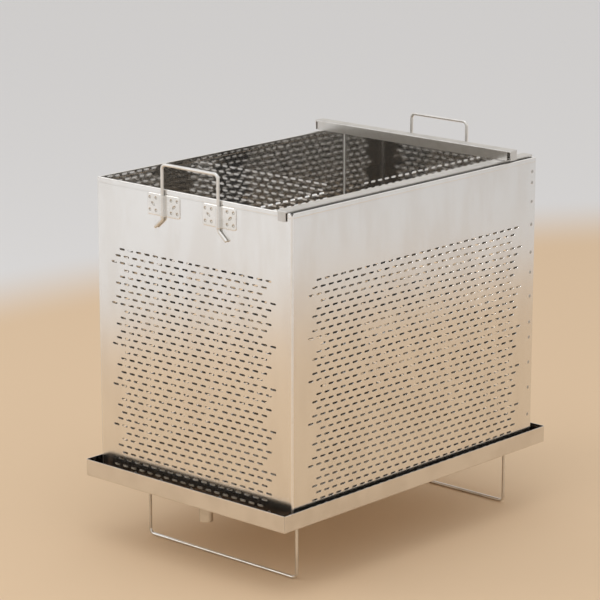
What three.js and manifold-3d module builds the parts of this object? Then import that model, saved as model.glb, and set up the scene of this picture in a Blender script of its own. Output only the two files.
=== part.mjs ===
// Steam wax melter: a perforated sheet basket that stands on four corner feet in a shallow
// drip tray. The tray stands on two wire legs and drains through a spout near one end.
// Two folded rails lie across the basket's rim, and a wire handle slides up and down in
// brackets on each short wall.
// Millimetres, +Z up. The origin is on the floor under the middle of the tray. +X runs
// along the tray, away from the drain, and +Y runs from the front wall to the back wall.
import * as THREE from 'three';
import { mergeVertices } from 'three/addons/utils/BufferGeometryUtils.js';
import Module from 'manifold-3d';

// Drip tray
const trayLength = 492;
const trayWidth = 332;
const trayHeight = 21;
const traySheet = 1;

// Wire legs under the tray
const legWire = 4;
const legDrop = 84; // from the tray's underside to the floor
const legSpan = 246; // between the wire's centre lines
const legBend = 7;
const drainLegInset = 68; // from the tray's drain end to the wire
const farLegInset = 29;

// Drain spout
const spoutInset = 41; // from the tray's drain end to the spout's axis
const spoutOuter = 17;
const spoutWall = 1.2;
const spoutDrop = 31; // below the tray's underside
const spoutLip = 3.5; // beyond the tube
const spoutLipSheet = 0.8;

// Basket
const basketLength = 450;
const basketWidth = 318;
const basketHeight = 372; // feet included
const basketSheet = 1;
const hemHeight = 6; // rim folded inwards to double thickness
const footHeight = 8;
const footWidth = 17.5;
const seamWidth = 15; // flange of one folded sheet behind the other

// Slots in the basket's sheets. One opening here stands for a group of slots, three by
// three, so it has three times their size and pitch and the same open share.
const slotLength = 8.8;
const slotHeight = 2.3;
const slotPitch = 14.1;
const rowPitch = 8.5;
const rowCount = 33;
const shortWallSlots = 18;
const longWallSlots = 27;
const floorRows = 33;
const firstRowDrop = 84; // from the rim to the first row of slots
const slotGroup = 3;

// Handles and their brackets
const handleWire = 4;
const handleSpan = 91; // between the wire's centre lines
const handleRise = 30; // from the rim up to the bar's centre line
const handleBend = 6;
const tailReach = 13;
const tailDrop = 11;
const bracketWidth = 54;
const bracketHeight = 26;
const bracketSheet = 1;
const bracketDrop = 7; // from the rim down to the bracket

// Rails
const railWidth = 15;
const railHeight = 12.7;
const railSheet = 1;
const longRailInset = 7; // from the front wall's face to the rail
const shortRailInset = 41; // from the far wall's face to the rail
const reliefWidth = 4.5; // relief slot along the flange
const reliefReturn = 1.6; // the same slot's part in the end flap
const reliefCrown = 2; // folded metal left above the slot

// Fits
const seatGap = 0.3; // a loose piece to what carries it
const wireGap = 0.35; // wire to the channel around it
const tubeGap = 0.3; // spout to the hole around it
const flapGap = 1; // a rail's end flap to the wall inside it
const overrun = 3; // how far a cutting body runs past a face

// Faceting
const wireSides = 8;
const bendSteps = 4;
const roundSides = 24;
const channelSteps = 8;

const wasm = await Module();
wasm.setup();

// Colours of bare steel as it looks in its three finishes
const finishes = {
  brushed: { color: 0xd9d7d3, roughness: 0.38, metalness: 1 },
  polished: { color: 0xc9c6c0, roughness: 0.16, metalness: 1 },
  wire: { color: 0xe2e0dc, roughness: 0.22, metalness: 1 },
};

function piece(name, geometry, finish) {
  const mesh = new THREE.Mesh(geometry, new THREE.MeshStandardMaterial(finishes[finish]));
  mesh.name = name;
  return mesh;
}

// Turns a closed geometry into a solid that can be joined and cut.
function solidOf(geometry) {
  const bare = geometry.clone();
  bare.deleteAttribute('normal');
  bare.deleteAttribute('uv');
  const merged = mergeVertices(bare);
  const vertProperties = new Float32Array(merged.attributes.position.array);
  const triVerts = new Uint32Array(merged.index.array);
  return new wasm.Manifold(new wasm.Mesh({ numProp: 3, vertProperties, triVerts }));
}

function geometryOf(solid) {
  const mesh = solid.getMesh();
  const geometry = new THREE.BufferGeometry();
  geometry.setAttribute('position', new THREE.BufferAttribute(mesh.vertProperties, 3));
  geometry.setIndex(new THREE.BufferAttribute(mesh.triVerts, 1));
  geometry.computeVertexNormals();
  return geometry;
}

function joined(...geometries) {
  return geometryOf(geometries.map(solidOf).reduce((whole, part) => whole.add(part)));
}

function cut(body, ...cutters) {
  return geometryOf(cutters.map(solidOf).reduce((whole, part) => whole.subtract(part), solidOf(body)));
}

// A block between two corners
function block(low, high) {
  const size = high.map((value, axis) => value - low[axis]);
  const middle = high.map((value, axis) => (value + low[axis]) / 2);
  return new THREE.BoxGeometry(...size).translate(...middle);
}

// Flat outlines are drawn as width and height. These stand them up, with the width along X
// and the thickness towards -Y, or with the width along Y and the thickness towards +X.
const alongX = new THREE.Matrix4().makeBasis(
  new THREE.Vector3(1, 0, 0),
  new THREE.Vector3(0, 0, 1),
  new THREE.Vector3(0, -1, 0),
);
const alongY = new THREE.Matrix4().makeBasis(
  new THREE.Vector3(0, 1, 0),
  new THREE.Vector3(0, 0, 1),
  new THREE.Vector3(1, 0, 0),
);

function plate(shape, thickness) {
  return new THREE.ExtrudeGeometry(shape, { depth: thickness, bevelEnabled: false, curveSegments: channelSteps });
}

function outline(points) {
  return new THREE.Shape(points.map(([x, y]) => new THREE.Vector2(x, y)));
}

// Staggered rows of slots through a sheet whose outline is drawn about its middle, each
// row half a pitch away from the next one. The first row's height is that of real slots.
function slotRows(firstRow, slots, rows, sheet) {
  const across = Math.round(slots / slotGroup);
  const down = Math.round(rows / slotGroup);
  const pitch = slotPitch * slotGroup;
  const half = [(slotLength * slotGroup) / 2, (slotHeight * slotGroup) / 2];
  const cutters = [];
  for (let row = 0; row < down; row += 1) {
    const shift = (row % 2 ? -pitch : pitch) / 4;
    const y = firstRow - (row * slotGroup + (slotGroup - 1) / 2) * rowPitch;
    for (let column = 0; column < across; column += 1) {
      const x = shift + (column - (across - 1) / 2) * pitch;
      cutters.push(block([x - half[0], y - half[1], -overrun], [x + half[0], y + half[1], sheet + overrun]));
    }
  }
  return cutters;
}

// A path of straight runs and round bends, sampled only where it turns. It is given by its
// corner points, and every corner but the ends is rounded to the bend radius.
class BentWire extends THREE.Curve {
  constructor(corners, bend) {
    super();
    const points = corners.map((corner) => new THREE.Vector3(...corner));
    this.stations = [];
    points.forEach((corner, index) => {
      const before = points[index - 1];
      const after = points[index + 1];
      if (!before || !after) {
        const along = before ? corner.clone().sub(before) : after.clone().sub(corner);
        this.stations.push({ point: corner, tangent: along.normalize() });
        return;
      }
      const into = corner.clone().sub(before).normalize();
      const out = after.clone().sub(corner).normalize();
      const turn = into.angleTo(out);
      const reach = bend * Math.tan(turn / 2);
      const start = corner.clone().addScaledVector(into, -reach);
      const inward = out.clone().addScaledVector(into, -into.dot(out)).normalize();
      const centre = start.clone().addScaledVector(inward, bend);
      for (let step = 0; step <= bendSteps; step += 1) {
        const angle = (turn * step) / bendSteps;
        const point = centre.clone()
          .addScaledVector(inward, -bend * Math.cos(angle))
          .addScaledVector(into, bend * Math.sin(angle));
        const tangent = into.clone()
          .multiplyScalar(Math.cos(angle))
          .addScaledVector(inward, Math.sin(angle));
        this.stations.push({ point, tangent });
      }
    });
  }

  at(share) {
    return this.stations[Math.round(share * (this.stations.length - 1))];
  }

  getPointAt(share, target = new THREE.Vector3()) {
    return target.copy(this.at(share).point);
  }

  getTangentAt(share, target = new THREE.Vector3()) {
    return target.copy(this.at(share).tangent);
  }
}

// Bent wire of a given diameter, with flats facing along the axes
function bentWire(corners, bend, diameter) {
  const path = new BentWire(corners, bend);
  const flatShare = 1 / Math.cos(Math.PI / wireSides);
  const section = Array.from({ length: wireSides }, (_, side) => {
    const angle = (2 * Math.PI * (side + 1 / 2)) / wireSides;
    const radius = (diameter / 2) * flatShare;
    return [radius * Math.cos(angle), radius * Math.sin(angle)];
  });
  return new THREE.ExtrudeGeometry(outline(section), { steps: path.stations.length - 1, extrudePath: path });
}

// Tray and what is fixed to it
function trayPan() {
  const half = [trayLength / 2, trayWidth / 2];
  const outer = block([-half[0], -half[1], legDrop], [half[0], half[1], legDrop + trayHeight]);
  const inner = block(
    [traySheet - half[0], traySheet - half[1], legDrop + traySheet],
    [half[0] - traySheet, half[1] - traySheet, legDrop + trayHeight + overrun],
  );
  const hole = new THREE.CylinderGeometry(
    spoutOuter / 2 + tubeGap,
    spoutOuter / 2 + tubeGap,
    traySheet + 2 * overrun,
    roundSides,
  );
  hole.rotateX(Math.PI / 2).translate(spoutInset - half[0], 0, legDrop + traySheet / 2);
  return cut(outer, inner, hole);
}

function drainSpout() {
  const inner = spoutOuter / 2 - spoutWall;
  const outer = spoutOuter / 2;
  const floor = legDrop + traySheet;
  const profile = [
    [inner, legDrop - spoutDrop],
    [outer, legDrop - spoutDrop],
    [outer, floor],
    [outer + spoutLip, floor],
    [outer + spoutLip, floor + spoutLipSheet],
    [inner, floor + spoutLipSheet],
    [inner, legDrop - spoutDrop],
  ].map(([radius, height]) => new THREE.Vector2(radius, height));
  const tube = new THREE.LatheGeometry(profile, roundSides);
  return tube.rotateX(Math.PI / 2).translate(spoutInset - trayLength / 2, 0, 0);
}

function trayLeg(x) {
  const side = legSpan / 2;
  const low = legWire / 2;
  return bentWire([[x, -side, legDrop], [x, -side, low], [x, side, low], [x, side, legDrop]], legBend, legWire);
}

// Basket walls, drawn with the feet at height zero. The walls meet edge to edge at the
// corners, and each has its rim folded inwards.
function slottedWall(width, foot, slots) {
  const half = width / 2;
  const shape = outline([
    [-half, 0],
    [foot - half, 0],
    [foot - half, footHeight],
    [half - foot, footHeight],
    [half - foot, 0],
    [half, 0],
    [half, basketHeight],
    [-half, basketHeight],
  ]);
  const rows = slotRows(basketHeight - firstRowDrop, slots, rowCount, basketSheet);
  return cut(plate(shape, basketSheet), ...rows);
}

function shortWall(end) {
  const face = (end * basketLength) / 2;
  const wall = slottedWall(basketWidth, footWidth, shortWallSlots)
    .applyMatrix4(alongY)
    .translate(end > 0 ? face - basketSheet : face, 0, 0);
  const inside = face - end * basketSheet;
  const half = basketWidth / 2 - basketSheet;
  const folded = inside - end * basketSheet;
  const hem = block(
    [Math.min(inside, folded), -half, basketHeight - hemHeight],
    [Math.max(inside, folded), half, basketHeight],
  );
  return joined(wall, hem);
}

function longWall(side) {
  const face = (side * basketWidth) / 2;
  const width = basketLength - 2 * basketSheet;
  const wall = slottedWall(width, footWidth - basketSheet, longWallSlots)
    .applyMatrix4(alongX)
    .translate(0, side > 0 ? face : face + basketSheet, 0);
  const inside = face - side * basketSheet;
  const folded = inside - side * basketSheet;
  const half = width / 2 - basketSheet;
  const hem = block(
    [-half, Math.min(inside, folded), basketHeight - hemHeight],
    [half, Math.max(inside, folded), basketHeight],
  );
  return joined(wall, hem);
}

// The flange that laps behind a long wall, at the end given by the short wall's side
function seamFlange(end, side) {
  const outer = end * (basketLength / 2 - basketSheet);
  const inner = outer - end * seamWidth;
  const face = side * (basketWidth / 2 - basketSheet);
  const back = face - side * basketSheet;
  return block(
    [Math.min(outer, inner), Math.min(face, back), footHeight + basketSheet],
    [Math.max(outer, inner), Math.max(face, back), basketHeight - hemHeight],
  );
}

function basketFloor() {
  const half = [basketLength / 2 - basketSheet, basketWidth / 2 - basketSheet];
  const shape = outline([
    [-half[0], -half[1]],
    [half[0], -half[1]],
    [half[0], half[1]],
    [-half[0], half[1]],
  ]);
  const rows = slotRows(((floorRows - 1) * rowPitch) / 2, longWallSlots, floorRows, basketSheet);
  return cut(plate(shape, basketSheet), ...rows).translate(0, 0, footHeight);
}

// Handles stand outside the short walls, their wire clear of the wall by the wire gap.
const handleOffset = handleWire / 2 + wireGap;

function handle(end) {
  const x = end * (basketLength / 2 + handleOffset);
  const side = handleSpan / 2;
  const top = basketHeight + handleRise;
  const splay = Math.atan2(tailReach, tailDrop);
  const knee = basketHeight - bracketDrop - bracketHeight - wireGap - handleBend * Math.tan(splay / 2);
  const tip = [side + tailReach, knee - tailDrop];
  return bentWire(
    [[x, -tip[0], tip[1]], [x, -side, knee], [x, -side, top], [x, side, top], [x, side, knee], [x, tip[0], tip[1]]],
    handleBend,
    handleWire,
  );
}

// A pressed plate whose middle is a half-round channel for the wire, drawn in plan as
// width along the wall and distance from it
function bracket(end, middle) {
  const bore = handleWire / 2 + wireGap;
  const crown = bore + bracketSheet;
  const half = bracketWidth / 2;
  const shape = new THREE.Shape();
  shape.moveTo(-half, 0);
  shape.lineTo(-bore, 0);
  shape.lineTo(-bore, handleOffset);
  shape.absarc(0, handleOffset, bore, Math.PI, 0, true);
  shape.lineTo(bore, 0);
  shape.lineTo(half, 0);
  shape.lineTo(half, bracketSheet);
  shape.lineTo(crown, bracketSheet);
  shape.lineTo(crown, handleOffset);
  shape.absarc(0, handleOffset, crown, 0, Math.PI, false);
  shape.lineTo(-crown, bracketSheet);
  shape.lineTo(-half, bracketSheet);
  shape.closePath();
  const outward = new THREE.Matrix4().makeBasis(
    new THREE.Vector3(0, -end, 0),
    new THREE.Vector3(end, 0, 0),
    new THREE.Vector3(0, 0, 1),
  );
  return plate(shape, bracketHeight)
    .applyMatrix4(outward)
    .translate((end * basketLength) / 2, middle, basketHeight - bracketDrop - bracketHeight);
}

// Rails are channels open downwards, drawn along X about their own middle, with the
// underside of the web at height zero. Slots at the corners, open below, part the flanges
// from the end flaps and let a wall's rim through.
function rail(length) {
  const half = [length / 2, railWidth / 2];
  const low = railSheet - railHeight;
  const body = block([-half[0], -half[1], low], [half[0], half[1], railSheet]);
  const channel = block(
    [railSheet - half[0], railSheet - half[1], low - overrun],
    [half[0] - railSheet, half[1] - railSheet, 0],
  );
  const reliefs = [-1, 1].flatMap((end) => [-1, 1].flatMap((side) => {
    const corner = [end * half[0], side * half[1]];
    const past = [corner[0] + end * overrun, corner[1] + side * overrun];
    const along = corner[0] - end * reliefWidth;
    const across = corner[1] - side * reliefReturn;
    const thick = [corner[0] - end * railSheet, corner[1] - side * railSheet];
    return [
      [[along, past[0]], [thick[1], past[1]]],
      [[thick[0], past[0]], [across, past[1]]],
    ].map(([x, y]) => block(
      [Math.min(...x), Math.min(...y), low - overrun],
      [Math.max(...x), Math.max(...y), railSheet - reliefCrown],
    ));
  }));
  return cut(body, channel, ...reliefs);
}

const part = new THREE.Group();

const tray = new THREE.Group();
tray.add(
  piece('tray_pan', trayPan(), 'polished'),
  piece('drain_spout', drainSpout(), 'polished'),
  piece('drain_end_leg', trayLeg(drainLegInset - trayLength / 2), 'wire'),
  piece('far_end_leg', trayLeg(trayLength / 2 - farLegInset), 'wire'),
);
part.add(tray);

const basket = new THREE.Group();
basket.position.z = legDrop + traySheet + seatGap;
basket.add(
  piece('drain_end_wall', shortWall(-1), 'brushed'),
  piece('far_end_wall', shortWall(1), 'brushed'),
  piece('front_wall', longWall(-1), 'brushed'),
  piece('back_wall', longWall(1), 'brushed'),
  piece('front_seam_flange', seamFlange(1, -1), 'brushed'),
  piece('back_seam_flange', seamFlange(-1, 1), 'brushed'),
  piece('basket_floor', basketFloor(), 'brushed'),
);
[['drain_end', -1], ['far_end', 1]].forEach(([place, end]) => {
  basket.add(piece(`${place}_handle`, handle(end), 'wire'));
  [['front', -1], ['back', 1]].forEach(([hand, side]) => {
    basket.add(piece(`${place}_${hand}_bracket`, bracket(end, (side * handleSpan) / 2), 'polished'));
  });
});
part.add(basket);

// The long rail hangs over the rims of the short walls, seated on the crowns of its relief
// slots. The short rail lies across it.
const longRail = piece('long_rail', rail(basketLength + 2 * (flapGap + railSheet)), 'brushed');
longRail.position.y = longRailInset + railWidth / 2 - basketWidth / 2;
longRail.position.z = basketHeight + seatGap + reliefCrown - railSheet;
basket.add(longRail);

const shortRail = piece('short_rail', rail(basketWidth + 2 * (flapGap + railSheet)), 'brushed');
shortRail.geometry.applyMatrix4(new THREE.Matrix4().makeBasis(
  new THREE.Vector3(0, 1, 0),
  new THREE.Vector3(-1, 0, 0),
  new THREE.Vector3(0, 0, 1),
));
shortRail.position.x = basketLength / 2 - shortRailInset - railWidth / 2;
shortRail.position.z = longRail.position.z + railHeight + seatGap;
basket.add(shortRail);

export default part;
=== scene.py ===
import math
import bpy
import numpy as np
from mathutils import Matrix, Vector


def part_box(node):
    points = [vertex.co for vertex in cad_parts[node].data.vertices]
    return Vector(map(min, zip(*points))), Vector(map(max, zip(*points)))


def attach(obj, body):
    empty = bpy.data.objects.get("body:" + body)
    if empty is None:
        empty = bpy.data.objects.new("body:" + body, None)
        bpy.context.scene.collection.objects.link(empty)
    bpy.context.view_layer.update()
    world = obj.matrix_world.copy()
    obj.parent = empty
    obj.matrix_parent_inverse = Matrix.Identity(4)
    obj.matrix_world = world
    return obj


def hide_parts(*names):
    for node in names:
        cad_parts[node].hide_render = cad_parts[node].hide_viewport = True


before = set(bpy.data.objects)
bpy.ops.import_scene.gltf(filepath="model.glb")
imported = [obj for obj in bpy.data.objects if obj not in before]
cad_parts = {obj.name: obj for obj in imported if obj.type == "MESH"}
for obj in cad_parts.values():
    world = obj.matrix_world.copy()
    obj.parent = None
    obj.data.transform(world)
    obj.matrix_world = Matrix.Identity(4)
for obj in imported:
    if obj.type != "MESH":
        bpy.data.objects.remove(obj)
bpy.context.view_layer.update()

# Shapes are worked out in millimetres in the part's own frame, and scaled to metres when
# they become meshes.
mm = 0.001


def boxOf(node):
    return np.array([list(corner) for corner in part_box(node)]) / mm


def addMesh(name, points, groups, sharpAngle=34):
    # Groups are (faces, material) pairs, and each faces array has one row a face. Points that
    # no face uses are left out.
    used = np.unique(np.concatenate([rows.ravel() for rows, _ in groups]))
    number = np.zeros(len(points), int)
    number[used] = np.arange(len(used))
    faces, slots, materials = [], [], []
    for rows, material in groups:
        if material not in materials:
            materials.append(material)
        faces += number[rows].tolist()
        slots += [materials.index(material)] * len(rows)
    mesh = bpy.data.meshes.new(name)
    mesh.from_pydata((points[used] * mm).tolist(), [], faces)
    for material in materials:
        mesh.materials.append(material)
    mesh.polygons.foreach_set("material_index", slots)
    mesh.polygons.foreach_set("use_smooth", [True] * len(faces))
    mesh.update()
    mesh.set_sharp_from_angle(angle=math.radians(sharpAngle))
    piece = bpy.data.objects.new(name, mesh)
    bpy.context.scene.collection.objects.link(piece)
    return piece


def gridFaces(count, rows, around=False, closed=False):
    # Quads between neighbouring points of a grid whose point (i, j) has number i * rows + j.
    # Around joins the last i to the first, and closed joins the last j to the first.
    i = np.arange(count if around else count - 1)[:, None]
    j = np.arange(rows if closed else rows - 1)[None, :]
    after, up = (i + 1) % count, (j + 1) % rows
    return np.stack([i * rows + j, after * rows + j, after * rows + up, i * rows + up], -1)


def unit(vectors):
    return vectors / np.linalg.norm(vectors, axis=-1, keepdims=True)


def thicken(points, normals, faces, sheet):
    # The inner skin is the outer one moved in along the normals by the sheet, and a strip
    # closes every edge that only one face uses
    points, normals = points.reshape(-1, 3), unit(normals.reshape(-1, 3))
    count = len(points)
    edges = np.concatenate([np.stack([f, np.roll(f, -1, 1)], 2).reshape(-1, 2) for f in faces])
    key = edges.min(1) * count + edges.max(1)
    _, first, uses = np.unique(key, return_index=True, return_counts=True)
    rim = edges[first[uses == 1]]
    strip = np.stack([rim[:, 1], rim[:, 0], rim[:, 0] + count, rim[:, 1] + count], 1)
    inner = [f[:, ::-1] + count for f in faces]
    return np.concatenate([points, points - normals * sheet]), inner, strip


# Camera and studio

studio = {
    "azimuth": -47.72,  # degrees, 0 looks along +Y
    "elevation": 14.14,
    "place": (-2.4414, -2.1863, 1.1143),  # metres
    "lens": 163.81,
    "sensor": 36,  # width in millimetres
    "clip": (0.05, 60),  # metres
    "floorNear": "#e5c9a7",
    "floorFar": "#e7e6e5",
    "floorFade": (1.04, 1.4),  # metres from its middle
    "floorOval": (0.25, 0.65, 1.03),  # its middle in X, and how much it is squeezed in X and Y
    "floorReach": 20,  # metres to each side
    "floorGloss": (0.85, 0.2),  # roughness and specular level
    "horizon": ("#fff3e0", 0.86),  # colour and strength
    "zenith": ("#fdfdff", 0.74),
    "roomHeights": (0.6, 0.9),  # where the zenith's colour and its strength are reached
    # place, what it points at, size and power; the first two fall on the floor beside a
    # wall, which mirrors it
    "lights": {
        "key light": ((-2, 1.65, 1.5), (-1.9, 1.45, 0), 1.2, 10.5),
        "front light": ((0.9, -2, 0.9), (1.1, -1.75, 0), 0.6, 2.4),
        "top light": ((-0.9, -0.5, 2.7), (0, 0, 0.25), 1.6, 11),
    },
}


def linear(hexColour):
    # sRGB hex to the linear colour that shaders take
    parts = [int(hexColour[k:k + 2], 16) / 255 for k in (1, 3, 5)]
    return [p / 12.92 if p <= 0.04045 else ((p + 0.055) / 1.055) ** 2.4 for p in parts] + [1]


def addNode(tree, kind, sockets=None, **settings):
    node = tree.nodes.new("ShaderNode" + kind)
    for name, value in settings.items():
        setattr(node, name, value)
    for name, value in (sockets or {}).items():
        if isinstance(value, bpy.types.NodeSocket):
            tree.links.new(value, node.inputs[name])
        else:
            node.inputs[name].default_value = value
    return node


def mixColours(tree, factor, first, second):
    # Colours are hex values or sockets. A Mix node's colour inputs are its sockets 6 and 7,
    # and its colour output is number 2.
    first, second = [linear(c) if isinstance(c, str) else c for c in (first, second)]
    return addNode(tree, "Mix", {"Factor": factor, 6: first, 7: second}, data_type="RGBA").outputs[2]


def mapRange(tree, value, start, stop, low=0, high=1, kind="LINEAR"):
    # Takes the value's range from start to stop to the range from low to high
    sockets = {"Value": value, "From Min": start, "From Max": stop, "To Min": low, "To Max": high}
    return addNode(tree, "MapRange", sockets, interpolation_type=kind).outputs["Result"]


def noise(tree, place, size, detail, roughness=0.5):
    # The size of its spots is in millimetres, and the node's scale is their number a metre
    sockets = {"Vector": place, "Scale": 1000 / size, "Detail": detail, "Roughness": roughness}
    return addNode(tree, "TexNoise", sockets).outputs["Fac"]


def newMaterial(name):
    material = bpy.data.materials.new(name)
    material.use_nodes = True
    tree = material.node_tree
    coords = addNode(tree, "TexCoord").outputs["Object"]
    return material, tree, tree.nodes["Principled BSDF"], coords


def makeCamera():
    camera = bpy.data.objects.new("camera", bpy.data.cameras.new("camera"))
    bpy.context.scene.collection.objects.link(camera)
    turn, tilt = math.radians(studio["azimuth"]), math.radians(studio["elevation"])
    back = Vector((math.sin(turn) * math.cos(tilt), -math.cos(turn) * math.cos(tilt), math.sin(tilt)))
    camera.location = studio["place"]
    camera.rotation_euler = (-back).to_track_quat("-Z", "Y").to_euler()
    camera.data.lens = studio["lens"]
    camera.data.sensor_width = studio["sensor"]
    camera.data.clip_start, camera.data.clip_end = studio["clip"]
    bpy.context.scene.camera = camera


def makeFloor():
    # A plain pale floor, warm under the object and pale grey far from it
    material, tree, surface, coords = newMaterial("pale painted floor")
    middle, squeezeX, squeezeY = studio["floorOval"]
    oval = addNode(
        tree, "Mapping",
        {"Vector": coords, "Location": (-middle * squeezeX, 0, 0), "Scale": (squeezeX, squeezeY, 1)},
    )
    reach = addNode(tree, "VectorMath", {0: oval.outputs["Vector"]}, operation="LENGTH").outputs["Value"]
    fade = mapRange(tree, reach, *studio["floorFade"], kind="SMOOTHSTEP")
    colour = mixColours(tree, fade, studio["floorNear"], studio["floorFar"])
    tree.links.new(colour, surface.inputs["Base Color"])
    roughness, specular = studio["floorGloss"]
    surface.inputs["Roughness"].default_value = roughness
    surface.inputs["Specular IOR Level"].default_value = specular
    half = studio["floorReach"] / mm
    points = np.array([[-half, -half, 0], [half, -half, 0], [half, half, 0], [-half, half, 0]], float)
    floor = addMesh("floor", points, [(np.array([[0, 1, 2, 3]]), material)])


def makeLight(name, place, target, size, power):
    light = bpy.data.objects.new(name, bpy.data.lights.new(name, "AREA"))
    bpy.context.scene.collection.objects.link(light)
    light.data.size = size
    light.data.energy = power
    light.location = place
    light.rotation_euler = (Vector(target) - Vector(place)).to_track_quat("-Z", "Y").to_euler()
    light.visible_camera = False


def makeWorld():
    world = bpy.data.worlds.new("soft room")
    world.use_nodes = True
    tree = world.node_tree
    coords = addNode(tree, "TexCoord").outputs["Generated"]
    height = addNode(tree, "SeparateXYZ", {"Vector": coords}).outputs["Z"]
    (lowColour, lowLevel), (highColour, highLevel) = studio["horizon"], studio["zenith"]
    colourTop, levelTop = studio["roomHeights"]
    level = mapRange(tree, height, 0, levelTop, lowLevel, highLevel)
    colour = mixColours(tree, mapRange(tree, height, 0, colourTop), lowColour, highColour)
    background = tree.nodes["Background"]
    tree.links.new(colour, background.inputs["Color"])
    tree.links.new(level, background.inputs["Strength"])
    bpy.context.scene.world = world


print("camera, floor and light")
makeCamera()
makeFloor()
makeWorld()
for name, settings in studio["lights"].items():
    makeLight(name, *settings)
bpy.context.scene.view_settings.view_transform = "Standard"


# Finishes

finish = {
    "wornFrom": (0.4, 0.64),  # the cloud noise's range over which a clean place turns worn
    "marksFrom": (0.3, 0.7),  # the marks' range that changes the roughness
    "marksShare": 0.15,  # and by how much of it, both ways
    "patch": 5,  # size of a dented patch, in waves
    "patchFrom": (0.5, 0.62),  # the patches' range over which the waves deepen
}


def steel(name, colour, shade, roughness, grain, grainDepth, wave, waveDepth,
          stretch=(1, 1, 1), smudge=0, smudgeSize=30, metallic=1, dented=1, tint=None):
    # Bare stainless steel: metallic, slightly warm grey. Sizes and depths are in
    # millimetres. The grain is the roll or polish marks, which break up the highlight, the
    # wave is the slow unevenness of thin sheet that bends what it mirrors, dented times as
    # deep in some places, and the smudges are wiped places, darker and duller than the rest.
    material, tree, surface, coords = newMaterial(name)
    surface.inputs["Metallic"].default_value = metallic
    along = addNode(tree, "Mapping", {"Vector": coords, "Scale": stretch}).outputs["Vector"]
    marks = noise(tree, along, grain, 4, 0.6)
    cloud = noise(tree, along, smudgeSize, 3, 0.55)
    buckle = noise(tree, coords, wave, 1.5, 0.4)
    worn = mapRange(tree, cloud, *finish["wornFrom"], kind="SMOOTHSTEP")
    blend = mixColours(tree, worn, colour, shade)
    if tint:
        # a weld's heat tint, and on the brackets painted shade in the dents' walls, strongest where the
        # piece's own attribute is 1
        heat = addNode(tree, "Attribute", attribute_name="weldTintAndDentShade").outputs["Fac"]
        blend = mixColours(tree, heat, blend, tint)
    tree.links.new(blend, surface.inputs["Base Color"])
    share = finish["marksShare"]
    spread = mapRange(tree, marks, *finish["marksFrom"], roughness * (1 - share), roughness * (1 + share))
    dulled = addNode(tree, "Math", {0: worn, 1: smudge, 2: spread}, operation="MULTIPLY_ADD")
    tree.links.new(dulled.outputs["Value"], surface.inputs["Roughness"])
    patch = noise(tree, coords, finish["patch"] * wave, 0)
    depth = mapRange(tree, patch, *finish["patchFrom"], waveDepth * mm, waveDepth * dented * mm)
    slow = addNode(tree, "Bump", {"Strength": 1, "Distance": depth, "Height": buckle}).outputs["Normal"]
    fine = addNode(
        tree, "Bump", {"Strength": 1, "Distance": grainDepth * mm, "Height": marks, "Normal": slow}
    )
    tree.links.new(fine.outputs["Normal"], surface.inputs["Normal"])
    return material


# Cold-rolled stainless sheet, matt side out: even pale silver with faint upright smears.
# Real roll marks are under 0.1 mm apart, and are drawn 0.9 mm apart so that they show.
satinSheet = steel(
    "satin stainless sheet", "#ebeae8", "#e7e5e2", roughness=0.19, grain=0.9, grainDepth=0.002,
    wave=90, waveDepth=0.15, stretch=(1, 1, 0.25), smudge=0.02, smudgeSize=26,
)
# The same sheet's bright side: a mirror that the sheet's unevenness bends a little
brightSheet = steel(
    "bright stainless sheet", "#d2d0cd", "#c8c6c2", roughness=0.025, grain=1.1, grainDepth=0.00005,
    wave=30, waveDepth=0.007, smudge=0.015, smudgeSize=60, metallic=0.955, dented=22,
)
# Outside of a fold: burnished by the press, and painted brighter than the flat as a highlight along the rims
# and corners
highlightedFoldSheet = steel(
    "burnished stainless fold with painted highlight", "#f4f3f1", "#efeeeb", roughness=0.3, grain=0.9, grainDepth=0.002,
    wave=60, waveDepth=0.02,
)
# Inside of a fold: stretched and dulled by the press, so it scatters light, and its near-white, half diffuse
# colour is a painted highlight
creaseHighlightSheet = steel(
    "creased stainless sheet with painted highlight", "#fafaf8", "#f2f1ee", roughness=0.6, grain=0.8, grainDepth=0.01,
    wave=40, waveDepth=0.02, metallic=0.5,
)
# Tray: bright rolled sheet with dull smudges, and on its floor the warm tone of a thin film
# of wax
traySheet = steel(
    "bright tray sheet", "#e2e0de", "#dbd8d5", roughness=0.2, grain=1.2, grainDepth=0.002,
    wave=70, waveDepth=0.25, smudge=0.03, smudgeSize=35,
)
wetTraySheet = steel(
    "waxy tray sheet", "#a88055", "#9f774c", roughness=0.1, grain=1.2, grainDepth=0.001,
    wave=70, waveDepth=0.12, smudge=0.08, smudgeSize=45,
)
# The tray's inner walls: the same sheet painted darker, as painted shade and the dark reflections that they
# show
shadedTrayWallSheet = steel(
    "bright tray wall with painted shade", "#aeaaa6", "#a5a19c", roughness=0.1, grain=1.2, grainDepth=0.001,
    wave=70, waveDepth=0.12, smudge=0.05, smudgeSize=45,
)
# Basket floor: the same film on the sheet that the combs rest on, duller than the tray's; on the floor's
# flanges it is painted shade
waxAndShadeSheet = steel(
    "waxy basket sheet and painted shade", "#a39786", "#8f8270", roughness=0.3, grain=1.2, grainDepth=0.004,
    wave=60, waveDepth=0.1, smudge=0.08, smudgeSize=40,
)
# Rails: folded from the satin sheet, with faint marks along their length
railSheet = steel(
    "satin rail sheet", "#d4d3d1", "#cccbc8", roughness=0.33, grain=0.8, grainDepth=0.006,
    wave=45, waveDepth=0.12, smudge=0.03, smudgeSize=18,
)
# Brackets: pressed and tumbled, brighter than the wall, with a tint that is painted shade in the dents'
# walls and some weld discolouration
bracketSheet = steel(
    "tumbled bracket sheet", "#f0efed", "#e9e8e5", roughness=0.28, grain=0.7, grainDepth=0.005,
    wave=14, waveDepth=0.05, tint="#7d7974",
)
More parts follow.
